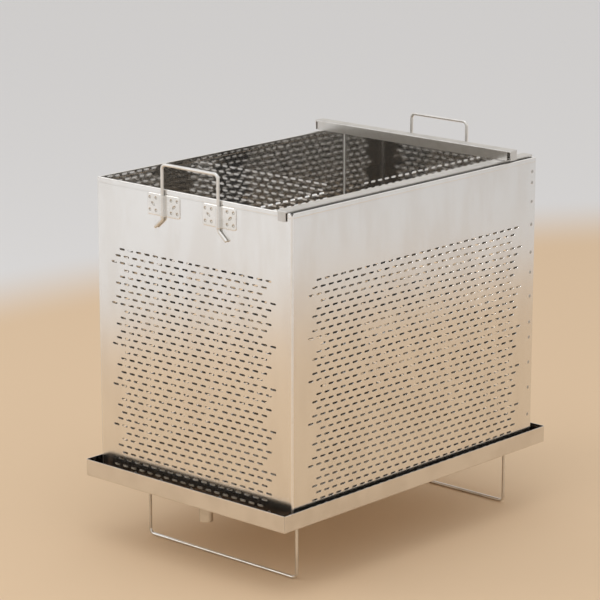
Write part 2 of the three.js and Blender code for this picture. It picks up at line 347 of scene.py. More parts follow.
# Handles: wire tumbled dull like the brackets
tumbledWire = steel(
    "tumbled stainless wire", "#e9e8e6", "#e1e0dd", roughness=0.42, grain=0.5, grainDepth=0.004,
    wave=30, waveDepth=0.02, metallic=0.75,
)
# Legs: the same wire left bright as drawn, with die lines too fine to see
drawnWire = steel(
    "drawn stainless wire", "#dedcd9", "#d2d0cc", roughness=0.27, grain=0.5, grainDepth=0.003,
    wave=30, waveDepth=0.02,
)
# Drain spout: drawn tube, smoother than the wire
drawnTube = steel(
    "drawn stainless tube", "#d0ccc7", "#c4bfb9", roughness=0.09, grain=0.5, grainDepth=0.002,
    wave=12, waveDepth=0.05,
)
# Spot welds: the sheet's own finish with a grey-blue heat tint in the middle
weldedSheet = steel(
    "heat tinted sheet", "#e7e5e1", "#dfddd9", roughness=0.36, grain=0.9, grainDepth=0.01,
    wave=55, waveDepth=0.1, tint="#6f7780",
)


# Basket sheets

basket = {
    "sheet": 0.84,
    "bend": 2.2,  # outer radius of the folded corners
    "lapBend": 1.1,  # and of the fold to the flange, which the other sheet covers
    "shortfall": 0.8,  # how far the covering sheet stops from the corner, behind that fold
    "seamGap": 0.09,  # between the two sheets where they lap
    "hem": 6,  # depth of the folded rim
    "hemRadius": 0.98,
    "hemStep": 0.5,  # developed height of each of the fold's six steps
    "hemEnds": (0.05, 0.7, 1.4),  # its gaps to the lap's bend, the near bend and the far end
    "hemGuards": (0.6, 0.7),  # distance of the rows below the fold, outside and on the return
    "groove": (5.2, 0.7, 0.16),  # place below the fold, half width and depth of the pressed line
    "guard": 0.5,  # distance of the extra rows and lines that keep a fold's shading to itself
    "foot": (17.5, 8),  # width on each face, height
    "flange": 16,  # lap behind the other sheet
    "flangeGaps": (1, 0.3),  # above the feet, and below the rim's return
    "slot": (9.3, 2.6),  # a little over the real 8.8 by 2.3, whose sheared edges catch no light
    "pitch": (14.1, 8.5),
    "rows": 33,
    "firstRow": 288,  # above the feet
    "shortWall": (-276.5, 18),  # first slot of the first row from the near corner, slots a row
    "longWall": (45.8, 27),
    "rowShifts": (0, -1, -2, 1, 0, -1),  # half pitches, repeated down the rows
    "notch": 2.2,  # depth of the mitre notch in the rim at a corner
}


def slotOutline():
    # A slot with round ends, as twelve points: half circles of radius width / 2 about the
    # two centres, and the middle of each straight side
    length, width = basket["slot"]
    radius = width / 2
    turn = np.radians([-90, -45, 0, 45, 90])
    right = np.stack([length / 2 - radius + radius * np.cos(turn), radius * np.sin(turn)], 1)
    return np.concatenate([[[0, -radius]], right, [[0, radius]], -right])


# A slot sits over two cells of the grid. Their six corners are numbered 0 to 5 and the
# slot's points 6 to 17, both anticlockwise.
slotQuads = np.array([[1, 2, 7, 6], [3, 4, 12, 11], [0, 1, 6, 17], [4, 5, 13, 12]])
slotTriangles = np.array([
    [2, 8, 7], [2, 9, 8], [2, 3, 9], [3, 10, 9], [3, 11, 10],
    [5, 14, 13], [5, 15, 14], [5, 0, 15], [0, 16, 15], [0, 17, 16],
])


def gridLines(*places):
    # All the places in rising order, each one once
    return np.unique(np.round(np.concatenate(places), 4))


def cellMiddles(across, up):
    u, v = [(lines[1:] + lines[:-1]) / 2 for lines in (across, up)]
    return u[:, None], v[None, :]


def nearest(lines, place):
    return int(np.argmin(np.abs(lines - place)))


def punchedSheet(acrossLines, upLines, slots, keep):
    # A flat developed sheet on a grid of lines. slots holds the line and row that each slot
    # is centred on, and keep says which of the other cells are there.
    rows = len(upLines)
    grid = np.stack(np.meshgrid(acrossLines, upLines, indexing="ij"), -1).reshape(-1, 2)
    cells = gridFaces(len(acrossLines), rows)
    line, row = slots[:, 0], slots[:, 1]
    keep[line - 1, row] = False
    keep[line, row] = False
    plain = cells[keep]
    middle = np.stack([acrossLines[line], (upLines[row] + upLines[row + 1]) / 2], 1)
    holes = (middle[:, None] + slotOutline()[None]).reshape(-1, 2)
    low, high = line * rows + row, line * rows + row + 1
    cellCorners = np.stack([low - rows, low, low + rows, high + rows, high, high - rows], 1)
    holeCorners = len(grid) + np.arange(len(slots) * 12).reshape(-1, 12)
    corners = np.concatenate([cellCorners, holeCorners], 1)
    quads = np.concatenate([plain, corners[:, slotQuads].reshape(-1, 4)])
    return np.concatenate([grid, holes]), len(grid), [quads, corners[:, slotTriangles].reshape(-1, 3)]


def slotPlaces(firstLine, count, firstRowLine, rows):
    # Slot k of a row stands on line firstLine + 2 k + shift; rows are counted downwards
    place, shifts = [], basket["rowShifts"]
    for row in range(rows):
        lines = firstLine + 2 * np.arange(count) + shifts[row % len(shifts)]
        place.append(np.stack([lines, np.full(count, firstRowLine - row)], 1))
    return np.concatenate(place)


def sheetPlan():
    # The folded sheet seen from above, as (distance along it, x, y, outward normal). It runs
    # from the flange behind the back wall, round the far left corner, along the short wall,
    # round the near corner at distance zero and along the front wall. Corners are arcs.
    low, high = boxOf("drain_end_wall")[0], boxOf("back_wall")[1]
    left, front = low[0], low[1]
    lap = high[1] - basket["sheet"] - basket["seamGap"]
    width = lap - front
    bend, lapBend, guard = basket["bend"], basket["lapBend"], basket["guard"]
    turn = np.linspace(0, np.pi / 2, 5)
    share = turn / (np.pi / 4) - 1
    sine, cosine = np.sin(turn), np.cos(turn)
    rows = [(-width - basket["flange"], left + basket["flange"], lap, 0, 1)]
    rows += [(-width - lapBend - guard, left + lapBend + guard, lap, 0, 1)]
    rows += [
        (-width + lapBend * a, left + lapBend - lapBend * s, lap - lapBend + lapBend * c, -s, c)
        for a, s, c in zip(share, sine, cosine)
    ]
    rows += [
        (bend * a, left + bend - bend * c, front + bend - bend * s, -c, -s)
        for a, s, c in zip(share, sine, cosine)
    ]
    length = boxOf("far_end_wall")[1][0] - left
    stop = length - basket["shortfall"]
    rows += [(stop, left + stop, front, 0, -1)]
    return np.array(rows), width, length


def sheetProfile():
    # The rim seen end on, as (distance up the sheet, height, inset, tilt of the normal). The
    # sheet goes straight up, half round and back down inside.
    height = boxOf("drain_end_wall")[1][2] - boxOf("drain_end_wall")[0][2]
    radius, step, guard = basket["hemRadius"], basket["hemStep"], basket["guard"]
    turn = np.linspace(0, np.pi, 7)
    start = height - radius
    end = start + step * (len(turn) - 1)
    outside, inside = basket["hemGuards"]
    below, half, depth = basket["groove"]
    low, high = start - below - half, start - below + half
    rows = [(h, h, inset, 0) for h, inset in (
        (0, 0), (low - guard, 0), (low, 0), (start - below, depth), (high, 0), (high + guard, 0),
        (start - outside, 0),
    )]
    rows += [
        (start + step * k, start + radius * math.sin(t), radius * (1 - math.cos(t)), t)
        for k, t in enumerate(turn)
    ]
    rows += [(end + inside, start - inside, 2 * radius, np.pi)]
    rows += [(end + 1, start - basket["hem"] + radius, 2 * radius, np.pi)]
    return np.array(rows), height, start, end


def slotLines(first, count):
    # Grid lines half a pitch apart. The first slot of an unshifted row is on line 3, and the
    # lines before it are for the rows that are shifted towards the near end.
    return first + basket["pitch"][0] / 2 * np.arange(-3, 2 * count + 1)


def readTable(places, table):
    # Each column after the first, read at these places in the first, straight between rows
    return [np.interp(places, table[:, 0], column) for column in table[:, 1:].T]


def foldedSheet(name, turned, nodes):
    plan, width, length = sheetPlan()
    profile, height, foldStart, foldEnd = sheetProfile()
    rise = basket["pitch"][1]
    shortLines, longLines = slotLines(*basket["shortWall"]), slotLines(*basket["longWall"])
    footWidth, footHeight = basket["foot"]
    farFoot = footWidth - width - 1
    lapGap, nearGap, farGap = basket["hemEnds"]
    lapEnd, hemEnd = -width + basket["lapBend"] + lapGap, basket["bend"] + nearGap
    hemStop = length - farGap
    stops = [farFoot, -footWidth, footWidth, length - footWidth]
    stops += [hemStop, -hemEnd, hemEnd, lapEnd, lapEnd + 0.6]
    across = gridLines(plan[:, 0], shortLines, longLines, stops)
    rowLines = basket["firstRow"] + rise / 2 - rise * np.arange(basket["rows"] + 1)
    up = gridLines(profile[:, 0], rowLines, [footHeight, footHeight + 1])

    # which cells are there: the feet below, the flange between floor and hem, the hem above
    u, v = cellMiddles(across, up)
    aboveFoot, belowHem = basket["flangeGaps"]
    keep = (v > footHeight) | (u < farFoot) | (np.abs(u) < footWidth) | (u > length - footWidth)
    keep &= (u > -width) | ((v > footHeight + aboveFoot) & (v < height - basket["hem"] - belowHem))
    keep &= (v < foldStart) | ((u > lapEnd) & (u < -hemEnd)) | ((u > hemEnd) & (u < hemStop))

    top = nearest(up, rowLines[1])
    places = []
    for lines, (_, count) in ((shortLines, basket["shortWall"]), (longLines, basket["longWall"])):
        firstLine = nearest(across, lines[3])
        places.append(slotPlaces(firstLine, count, top, basket["rows"]))
    flat, gridCount, faces = punchedSheet(across, up, np.concatenate(places), keep)

    # the mitre notch: the rim dips to a point at the near corner
    near = np.clip(1 - np.abs(flat[:gridCount, 0]) / hemEnd, 0, 1)
    atRim = np.abs(flat[:gridCount, 1] - foldStart) < basket["hemGuards"][0] + 0.1
    atRim &= flat[:gridCount, 1] < foldStart + 0.1
    flat[:gridCount, 1] -= near * atRim * basket["notch"]

    # fold it: the place in plan comes from the distance along, and the height and inset from
    # the distance up
    x, y, nx, ny = readTable(flat[:, 0], plan)
    z, inset, tilt = readTable(flat[:, 1], profile)
    base = boxOf("drain_end_wall")[0][2]
    points = np.stack([x - nx * inset, y - ny * inset, z + base], 1)
    normals = np.stack([nx * np.cos(tilt), ny * np.cos(tilt), np.sin(tilt)], 1)
    if turned:
        points[:, :2] *= -1
        normals[:, :2] *= -1
    # the inside is bright, with the return of the rim, and the folds have their own finish, painted brighter
    # as a highlight
    points, inner, strip = thicken(points, normals, faces, basket["sheet"])
    groups = [(strip, satinSheet)]
    for skin, inside in zip(faces, inner):
        middle = flat[skin].mean(1)
        fold = np.abs(middle[:, 0]) < basket["bend"]
        lap = np.abs(middle[:, 0] + width) < basket["lapBend"]
        back = middle[:, 1] > foldEnd
        # the outer skin of the corner and lap folds and of the rim gets the painted highlight
        edge = ~back & (fold | lap | (middle[:, 1] > foldStart))
        groups += [(skin[~back & ~edge], satinSheet), (skin[edge], highlightedFoldSheet), (skin[back], brightSheet)]
        # the inside of the corner fold gets the painted highlight, a bright line down the corner
        groups += [(inside[~fold], brightSheet), (inside[fold], creaseHighlightSheet)]
    piece = addMesh(name, points, groups)
    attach(piece, "basket")
    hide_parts(*nodes)


print("basket sheets")
foldedSheet("near_folded_sheet", False, ["drain_end_wall", "front_wall", "back_seam_flange"])
foldedSheet("far_folded_sheet", True, ["far_end_wall", "back_wall", "front_seam_flange"])


# Basket floor

basketFloor = {
    "sheet": 0.9,
    "bend": 1.4,
    "flange": 8.4,
    "cornerGap": 20,  # no flange this near a corner, clear of the seams
    "clearance": 0.15,
    "step": 0.4,  # developed length of each of the fold's four steps
    "guard": 0.6,  # distance of the extra lines beside the fold
    "slots": 27,
    "rows": 33,
}


def makeBasketFloor():
    # The same slots in a flat sheet whose four edges are folded up against the walls
    low, high = boxOf("basket_floor")
    halfLength, halfWidth = (high - low)[:2] / 2 - basketFloor["clearance"]
    bend, flange = basketFloor["bend"], basketFloor["flange"]
    step, guard = basketFloor["step"], basketFloor["guard"]
    slots, rise = basketFloor["slots"], basket["pitch"][1]
    turn = np.linspace(0, np.pi / 2, 5)
    # across one edge: (distance out, place, height, tilt), the fold an arc of the bend radius
    edge = [(-bend - guard, -bend - guard, 0, 0)]
    edge += [
        (-bend + step * k, -bend + bend * math.sin(t), bend * (1 - math.cos(t)), t)
        for k, t in enumerate(turn)
    ]
    beyond = -bend + step * (len(turn) - 1) + guard
    edge += [(beyond, 0, bend + guard, np.pi / 2), (beyond + step, 0, flange, np.pi / 2)]
    edge = np.array(edge)

    def table(halfSize):
        far = edge + [halfSize, halfSize, 0, 0]
        near = far[::-1] * [-1, -1, 1, -1]
        return np.concatenate([near, far])

    alongX, alongY = table(halfLength), table(halfWidth)
    lines = slotLines(basket["pitch"][0] / 2 * (1 - slots), slots)
    rowLines = rise * (np.arange(basketFloor["rows"] + 1) - basketFloor["rows"] / 2)
    gap = basketFloor["cornerGap"]
    across = gridLines(alongX[:, 0], lines, [gap - halfLength, halfLength - gap])
    up = gridLines(alongY[:, 0], rowLines, [gap - halfWidth, halfWidth - gap])
    u, v = cellMiddles(across, up)
    folded = (np.abs(u) > halfLength - bend), (np.abs(v) > halfWidth - bend)
    keep = ~(folded[0] & (np.abs(v) > halfWidth - gap)) & ~(folded[1] & (np.abs(u) > halfLength - gap))
    firstLine, top = nearest(across, lines[3]), nearest(up, rowLines[-2])
    places = slotPlaces(firstLine, slots, top, basketFloor["rows"])
    flat, _, faces = punchedSheet(across, up, places, keep)
    x, zx, tx = readTable(flat[:, 0], alongX)
    y, zy, ty = readTable(flat[:, 1], alongY)
    points = np.stack([x, y, low[2] + zx + zy], 1)
    down = -np.cos(tx) * np.cos(ty)
    normals = np.stack([np.sin(tx), np.sin(ty), down], 1)
    # the outer skin is the underside, so each face is turned to look down
    faces = [f[:, ::-1] for f in faces]
    points, inner, strip = thicken(points, normals, faces, basketFloor["sheet"])
    groups = [(f, waxAndShadeSheet) for f in inner] + [(strip, satinSheet)]
    for skin in faces:
        # the flanges, which show through the walls' lowest slots, get the darker waxy sheet as painted shade
        place = np.abs(flat[skin].mean(1)) - [halfLength - bend, halfWidth - bend]
        flanged = place.max(1) > 0
        groups += [(skin[~flanged], satinSheet), (skin[flanged], waxAndShadeSheet)]
    piece = addMesh("perforated_floor", points, groups)
    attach(piece, "basket")
    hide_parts("basket_floor")


print("basket floor")
makeBasketFloor()


# Spot welds

welds = {
    "radius": 2.5,
    "rise": 0.07,  # the nugget's crown
    "lift": 0.012,  # of its edge off the sheet
    "depth": 0.1,  # how far it reaches into the sheet
    "sides": 12,
    "rings": (0.4, 0.75, 1),  # in radii
    "tint": (0.6, 0.7),  # strength in the middle, and the power of the height that it fades as
    "height": 10.6,  # above the feet
    "shortWall": (36.7, 116.5, 163.6, 215, 259),  # from the near corner
    "longWall": (19.2, 72.3, 122.3, 187, 252.2, 296.6, 355.7, 413.3),
    "seam": 442.4,
    "seamHeights": (15.3, 40.5, 76, 109, 141.7, 161.3, 195, 225.9, 251.6, 287.4, 316.6, 340.7, 354.6),
}


def makeWelds():
    # Each weld is a low round crown: height falls from the middle as the square of the
    # distance, and the heat tint fades a little more slowly
    left, front, foot = boxOf("drain_end_wall")[0]
    spots = [(left, front + s, welds["height"], -1, 0) for s in welds["shortWall"]]
    spots += [(left + s, front, welds["height"], 0, -1) for s in welds["longWall"]]
    spots += [(left + welds["seam"], front, z, 0, -1) for z in welds["seamHeights"]]
    spots = np.array(spots)
    spots = np.concatenate([spots, spots * [-1, -1, 1, -1, -1]])
    sides, share = welds["sides"], np.array(welds["rings"])
    count, rows = len(spots), len(share)
    turn = np.arange(sides) * 2 * np.pi / sides
    ring = np.stack([np.cos(turn), np.sin(turn)], 1)[:, None] * share[None, :, None]
    disc = np.concatenate([[[0, 0]], ring.reshape(-1, 2)]) * welds["radius"]
    distance = np.concatenate([[0], np.tile(share, sides)])
    along = np.stack([-spots[:, 4], spots[:, 3]], 1)
    crown = 1 - distance ** 2
    rise = welds["rise"] * crown + welds["lift"]
    flat = spots[:, None, :2] + along[:, None] * disc[None, :, :1] + spots[:, None, 3:] * rise[None, :, None]
    height = foot + spots[:, None, 2] + disc[None, :, 1]
    points = np.concatenate([flat, height[..., None]], 2).reshape(-1, 3)
    first = np.arange(sides)
    fan = np.stack([0 * first, 1 + first * rows, 1 + (first + 1) % sides * rows], 1)
    rings = gridFaces(sides, rows, around=True).reshape(-1, 4)[:, ::-1] + 1
    shift = (np.arange(count) * len(disc))[:, None, None]
    faces = [(part[None] + shift).reshape(-1, part.shape[1]) for part in (fan, rings)]
    normals = np.repeat(np.column_stack([spots[:, 3:], np.zeros(count)]), len(disc), 0)
    points, inner, strip = thicken(points, normals, faces, welds["depth"])
    piece = addMesh("spot_welds", points, [(f, weldedSheet) for f in [*faces, *inner, strip]])
    heat = piece.data.attributes.new("weldTintAndDentShade", "FLOAT", "POINT")
    strength, power = welds["tint"]
    heat.data.foreach_set("value", np.tile(strength * crown ** power, 2 * count))
    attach(piece, "basket")


print("spot welds")
makeWelds()


# Wires

wires = {
    "handleBend": 6,
    "legBend": 7,
    "sides": 20,
    "bendSteps": 9,
    "chamfer": 0.5,
    "guards": (0.4, 0.3),  # distance of the extra rings beside a bend and a chamfer
    "handleTail": (13, 11),  # outward and down, beyond the knee
    "weldBead": 1.1,  # fillet where a leg meets the tray
}


def roundedPath(corners, bend):
    # Straight runs joined by arcs: each inner corner is cut back by bend * tan(turn / 2)
    # and replaced with points on a circle of the bend radius
    corners = [np.array(c, float) for c in corners]
    path, guard = [corners[0]], wires["guards"][0]
    for before, corner, after in zip(corners, corners[1:], corners[2:]):
        into, out = unit(corner - before), unit(after - corner)
        turn = math.acos(float(into @ out))
        inward = unit(out - into * (into @ out))
        start = corner - into * bend * math.tan(turn / 2)
        angle = np.linspace(0, turn, wires["bendSteps"])[:, None]
        path.append(start - into * guard)
        path += [*(start + inward * bend * (1 - np.cos(angle)) + into * bend * np.sin(angle))]
        path.append(path[-1] + out * guard)
    return np.array(path + [corners[-1]])


def sweptWire(path, radii):
    # A circle carried along a path that lies square to X:
    # point = centre + r (cos a * normal + sin a * across)
    across = np.array([1.0, 0, 0])
    step = unit(np.diff(path, axis=0))
    tangent = unit(np.concatenate([step[:1], step[1:] + step[:-1], step[-1:]]))
    normal = np.cross(tangent, across)
    sides, count = wires["sides"], len(path)
    turn = np.arange(sides) * 2 * np.pi / sides
    ring = np.cos(turn)[None, :, None] * normal[:, None] + np.sin(turn)[None, :, None] * across
    points = (path[:, None] + ring * np.array(radii)[:, None, None]).reshape(-1, 3)
    quads = gridFaces(count, sides, closed=True)
    caps = np.stack([np.arange(sides), (count - 1) * sides + np.arange(sides)[::-1]])
    return points, [quads.reshape(-1, 4), caps]


def withEnds(path, radius):
    # Adds the chamfered cut at both ends and returns the path with its radii
    ends, chamfer = [], wires["chamfer"]
    for end, inner in ((path[0], path[1]), (path[-1], path[-2])):
        inward = unit(inner - end)
        ends.append([end, end + inward * chamfer, end + inward * (chamfer + wires["guards"][1])])
    path = np.concatenate([ends[0], path[1:-1], ends[1][::-1]])
    radii = [radius - chamfer] + [radius] * (len(path) - 2) + [radius - chamfer]
    return path, radii


def makeHandle(node):
    low, high = boxOf(node)
    x, radius = (low[0] + high[0]) / 2, (high[0] - low[0]) / 2
    outward, down = wires["handleTail"]
    splay = math.atan2(outward, down)
    # the box reaches from the wire's skin at the tail's tip to the top of the bar
    tip = high[1] - radius * math.cos(splay), low[2] + radius * math.sin(splay)
    side = tip[0] - outward
    half = [(side, high[2] - radius), (side, tip[1] + down), tip]
    corners = [(x, -y, z) for y, z in half[::-1]] + [(x, y, z) for y, z in half]
    points, faces = sweptWire(*withEnds(roundedPath(corners, wires["handleBend"]), radius))
    piece = addMesh(node + "_wire", points, [(f, tumbledWire) for f in faces])
    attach(piece, node)
    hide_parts(node)


def makeLeg(node):
    # The wire, and at each end a weld bead: a concave skirt that widens towards the tray
    low, high = boxOf(node)
    x, radius = (low[0] + high[0]) / 2, (high[0] - low[0]) / 2
    side = high[1] - radius
    corners = [(x, -side, high[2]), (x, -side, radius), (x, side, radius), (x, side, high[2])]
    path = roundedPath(corners, wires["legBend"])
    bead = wires["weldBead"]
    turn = np.linspace(0, np.pi / 2, 5)
    drop = bead * np.sin(turn)
    swell = bead * (1 - np.sin(np.arccos(1 - drop / bead)))
    down = np.stack([0 * drop, 0 * drop, drop], 1)
    first, last = path[0] - down, (path[-1] - down)[::-1]
    radii = np.concatenate([radius + swell, np.full(len(path) - 2, radius), radius + swell[::-1]])
    points, faces = sweptWire(np.concatenate([first, path[1:-1], last]), radii)
    piece = addMesh(node + "_wire", points, [(f, drawnWire) for f in faces])
    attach(piece, "tray")
    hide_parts(node)


print("handles and legs")
for node in ("drain_end_handle", "far_end_handle"):
    makeHandle(node)
for node in ("drain_end_leg", "far_end_leg"):
    makeLeg(node)


# Brackets

bracket = {
    "sheet": 0.9,
    "corner": 3.2,
    "channel": 3.15,  # outer radius of the half-round channel
    "root": 1.3,  # radius where the channel meets the plate
    "steepness": 60,  # slope of the channel's curve beyond its radius
    "middle": 7,  # half width of the middle, and width of each end, whose corners are drawn in
    "columns": (29, 56),  # points across half the middle, and from there to the edge
    "rows": 61,
    "dents": ((22.6, 7.6), (12.6, 7.6), (22.6, -7.4), (12.6, -7.4)),  # from the middle
    "rollOver": (0.8, 0.3),  # reach inwards, drop
    "dentRadius": 1.5,
    "dentDepth": 0.62,
    "dentShade": (0.9, 0.95, 0.3),  # strength, and place and width of its ring in a dent, in radii
    "longDent": (17.4, 0.3, 2.6, 1.2, 38),  # place, half length, half width, degrees
}


def makeBracket(node):
    # A pressed plate as height over the wall: flat, with a channel whose crown is a circle,
    # eased at its roots, and round dents that are shallow bells
    low, high = boxOf(node)
    middle = (low + high) / 2
    halfWidth, halfHeight = (high - low)[1:] / 2
    crown, end = high[0] - low[0], np.sign(middle[0])
    zone, (nearCount, farCount) = bracket["middle"], bracket["columns"]
    side = np.concatenate([np.linspace(0, zone, nearCount)[:-1], np.linspace(zone, halfWidth, farCount)])
    w = np.concatenate([-side[:0:-1], side])
    h = np.linspace(-halfHeight, halfHeight, bracket["rows"])
    w, h = np.meshgrid(w, h, indexing="ij")
    # round the corners by drawing the outer part of each row in
    corner = bracket["corner"]
    over = np.clip(np.abs(h) - (halfHeight - corner), 0, None)
    reach = halfWidth - corner + np.sqrt(np.clip(corner ** 2 - over ** 2, 0, None))
    start = halfWidth - zone
    outer = np.clip(np.abs(w) - start, 0, None) / zone
    w = np.sign(w) * (np.minimum(np.abs(w), start) + outer * (reach - start))
    radius, root = bracket["channel"], bracket["root"]
    rise = crown - radius
    # plate at the sheet's height, circle above, joined by a smooth maximum
    plate = np.full_like(w, bracket["sheet"])
    fall = bracket["steepness"] * np.clip(np.abs(w) - radius, 0, None)
    arch = rise + np.sqrt(np.clip(radius ** 2 - w ** 2, 0, None)) - fall
    blend = np.clip(0.5 + 0.5 * (arch - plate) / root, 0, 1)
    depth = plate * (1 - blend) + arch * blend + root * blend * (1 - blend)
    # the dents, each on both sides, as distances from their middles in radii
    dents = [
        np.hypot(np.abs(w) - place, h - lift) / bracket["dentRadius"] for place, lift in bracket["dents"]
    ]
    place, lift, long, wide, angle = bracket["longDent"]
    dx, dy = np.abs(w) - place, h - lift
    cosine, sine = math.cos(math.radians(angle)), math.sin(math.radians(angle))
    dents.append(np.hypot((dx * cosine + dy * sine) / long, (dy * cosine - dx * sine) / wide))
    # painted shade in a dent's wall, with some weld discolouration, is a ring: exp of minus the square of
    # the distance from it
    dentShade = np.zeros_like(w)
    strength, ringPlace, ringWidth = bracket["dentShade"]
    for away in dents:
        depth -= bracket["dentDepth"] * np.exp(-away ** 4)
        dentShade += np.exp(-((away - ringPlace) / ringWidth) ** 2)
    # the punch rolls the rim over by a third of the sheet
    rim = np.maximum(np.abs(w) - reach, np.abs(h) - halfHeight) / bracket["rollOver"][0] + 1
    depth -= bracket["rollOver"][1] * np.clip(rim, 0, 1) ** 2
    x = end * (abs(low[0] if end > 0 else high[0]) + depth)
    points = np.stack([x, middle[1] + end * w, middle[2] + h], -1)
    # the far plate is the near one turned half round, so both grids face away from the wall
    normals = np.cross(np.gradient(points, axis=0), np.gradient(points, axis=1))
    normals[rim > 0] = [end, 0, 0]  # the cut edge stays square to the wall
    faces = gridFaces(*w.shape).reshape(-1, 4)
    # a hair thinner than the sheet, so that its back stays clear of the wall
    points, inner, strip = thicken(points, normals, [faces], bracket["sheet"] * 0.95)
    piece = addMesh(node + "_plate", points, [(f, bracketSheet) for f in [faces, *inner, strip]])
    # the rings of painted shade go into the attribute that also holds the welds' heat tint
    tint = piece.data.attributes.new("weldTintAndDentShade", "FLOAT", "POINT")
    tint.data.foreach_set("value", np.tile(dentShade.ravel() * strength, 2))
    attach(piece, "basket")
    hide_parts(node)


print("brackets")
for wall in ("drain_end", "far_end"):
    for side in ("front", "back"):
        makeBracket(f"{wall}_{side}_bracket")


# Rails

rail = {
    "sheet": 0.9,
    "corner": 1.4,
    "fold": 1.2,
    "crown": 2.1,  # folded metal above a corner slot
    "slot": (1.6, 4.5),  # reach on the end flap and on the flange
    "slotStations": (1.9, 2.7, 3.5, 4.1),  # between the corner and the slot's end on the flange
    "guard": 1.2,  # distance of the stations beyond a slot
    "webEdge": 0.5,  # how far the skin's last row lies in from the fold
    "archDrop": 1.0,
}


def makeRail(node):
    # A loop of stations round the rail's plan, closed corners included, carried from the
    # flanges' lower edge up, over the fold and a little way onto the web, which is one face
    low, high = boxOf(node)
    middle, size = (low + high) / 2, high - low
    turned = size[1] > size[0]
    length, width = (size[1], size[0]) if turned else (size[0], size[1])
    fold, corner, height = rail["fold"], rail["corner"], size[2]
    (onFlap, onFlange), guard = rail["slot"], rail["guard"]
    turn = np.linspace(0, np.pi / 2, 5)
    # one quarter, from the flap round to the flange, as (x, y, normal). The place in the slot,
    # from -1 to 1, and whether it is in the slot at all are added to it.
    quarter = [(length / 2, width / 2 - onFlap - guard, 1, 0), (length / 2, width / 2 - onFlap, 1, 0)]
    quarter += [
        (length / 2 - corner * (1 - math.cos(t)), width / 2 - corner * (1 - math.sin(t)),
         math.cos(t), math.sin(t))
        for t in turn
    ]
    stations = *rail["slotStations"], onFlange, onFlange + guard
    quarter += [(length / 2 - s, width / 2, 0, 1) for s in stations]
    quarter = np.array(quarter)
    travel = np.concatenate([[0], np.cumsum(np.linalg.norm(np.diff(quarter[:, :2], axis=0), axis=1))])
    start, stop = travel[1], travel[-2]
    q = np.clip((travel - start) / (stop - start), 0, 1) * 2 - 1
    inSlot = (travel >= start - 1e-6) & (travel <= stop + 1e-6)
    quarter = np.column_stack([quarter, q, inSlot])
    # the other three, so that the loop runs anticlockwise from the middle of the +X flap
    loop = np.concatenate([
        quarter,
        quarter[::-1] * [-1, 1, -1, 1, 1, 1],
        quarter * [-1, -1, -1, -1, 1, 1],
        quarter[::-1] * [1, -1, 1, -1, 1, 1],
    ])
    plan, outward, q, inSlot = loop[:, :2], loop[:, 2:4], loop[:, 4], loop[:, 5] > 0.5
    # a slot's head is a flat arch: it drops from the crown as 1 - sqrt(1 - q^6)
    arch = rail["crown"] + rail["archDrop"] * (1 - np.sqrt(np.clip(1 - q ** 6, 0, 1)))
    head = np.where(inSlot, arch, rail["crown"])
    drops = np.full(len(loop), height), head, np.full(len(loop), fold)
    rows, tilts = [np.column_stack([plan, -drop]) for drop in drops], [0] * 3
    for t in turn[1:]:
        inset = fold * (1 - math.cos(t))
        rows.append(np.column_stack([plan - outward * inset, np.full(len(loop), fold * (math.sin(t) - 1))]))
        tilts.append(t)
    rows.append(rows[-1] - np.column_stack([np.sign(plan) * rail["webEdge"], np.zeros(len(loop))]))
    tilts.append(math.pi / 2)
    points = np.stack(rows, 1)
    tilts = np.array(tilts)[None, :, None] + np.zeros((len(loop), 1, 1))
    normals = np.concatenate([outward[:, None] * np.cos(tilts), np.sin(tilts)], 2)
    cells = gridFaces(len(loop), len(rows), around=True)
    keep = np.ones(cells.shape[:2], bool)
    keep[:, 0] = ~(inSlot & np.roll(inSlot, -1))
    web = (np.arange(1, len(loop) + 1) * len(rows) - 1)[None]
    faces = [cells[keep], web]
    points, inner, strip = thicken(points, normals, faces, rail["sheet"])
    if turned:
        points = points[:, [1, 0, 2]] * [-1, 1, 1]
    points += [middle[0], middle[1], high[2]]
    piece = addMesh(node + "_channel", points, [(f, railSheet) for f in [*faces, *inner, strip]])
    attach(piece, node)
    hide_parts(node)


print("rails")
makeRail("long_rail")
makeRail("short_rail")


# Tray

tray = {
    "sheet": 0.9,
    "corner": 2.6,
    "bend": 1.6,
    "seamGroove": 0.3,
    "cornerNotch": 1.3,
    "hole": 8.8,
    "holeRim": 5,  # width of the ring of faces round it
    "rays": 56,
    "rayTurn": 0.031,  # radians, of all rays together
    "rayClear": 3,  # distance that they keep from the rounded corners
    "guards": (0.7, 1, 2.5),  # distance of the rows before and above the bend, and below the edge
}


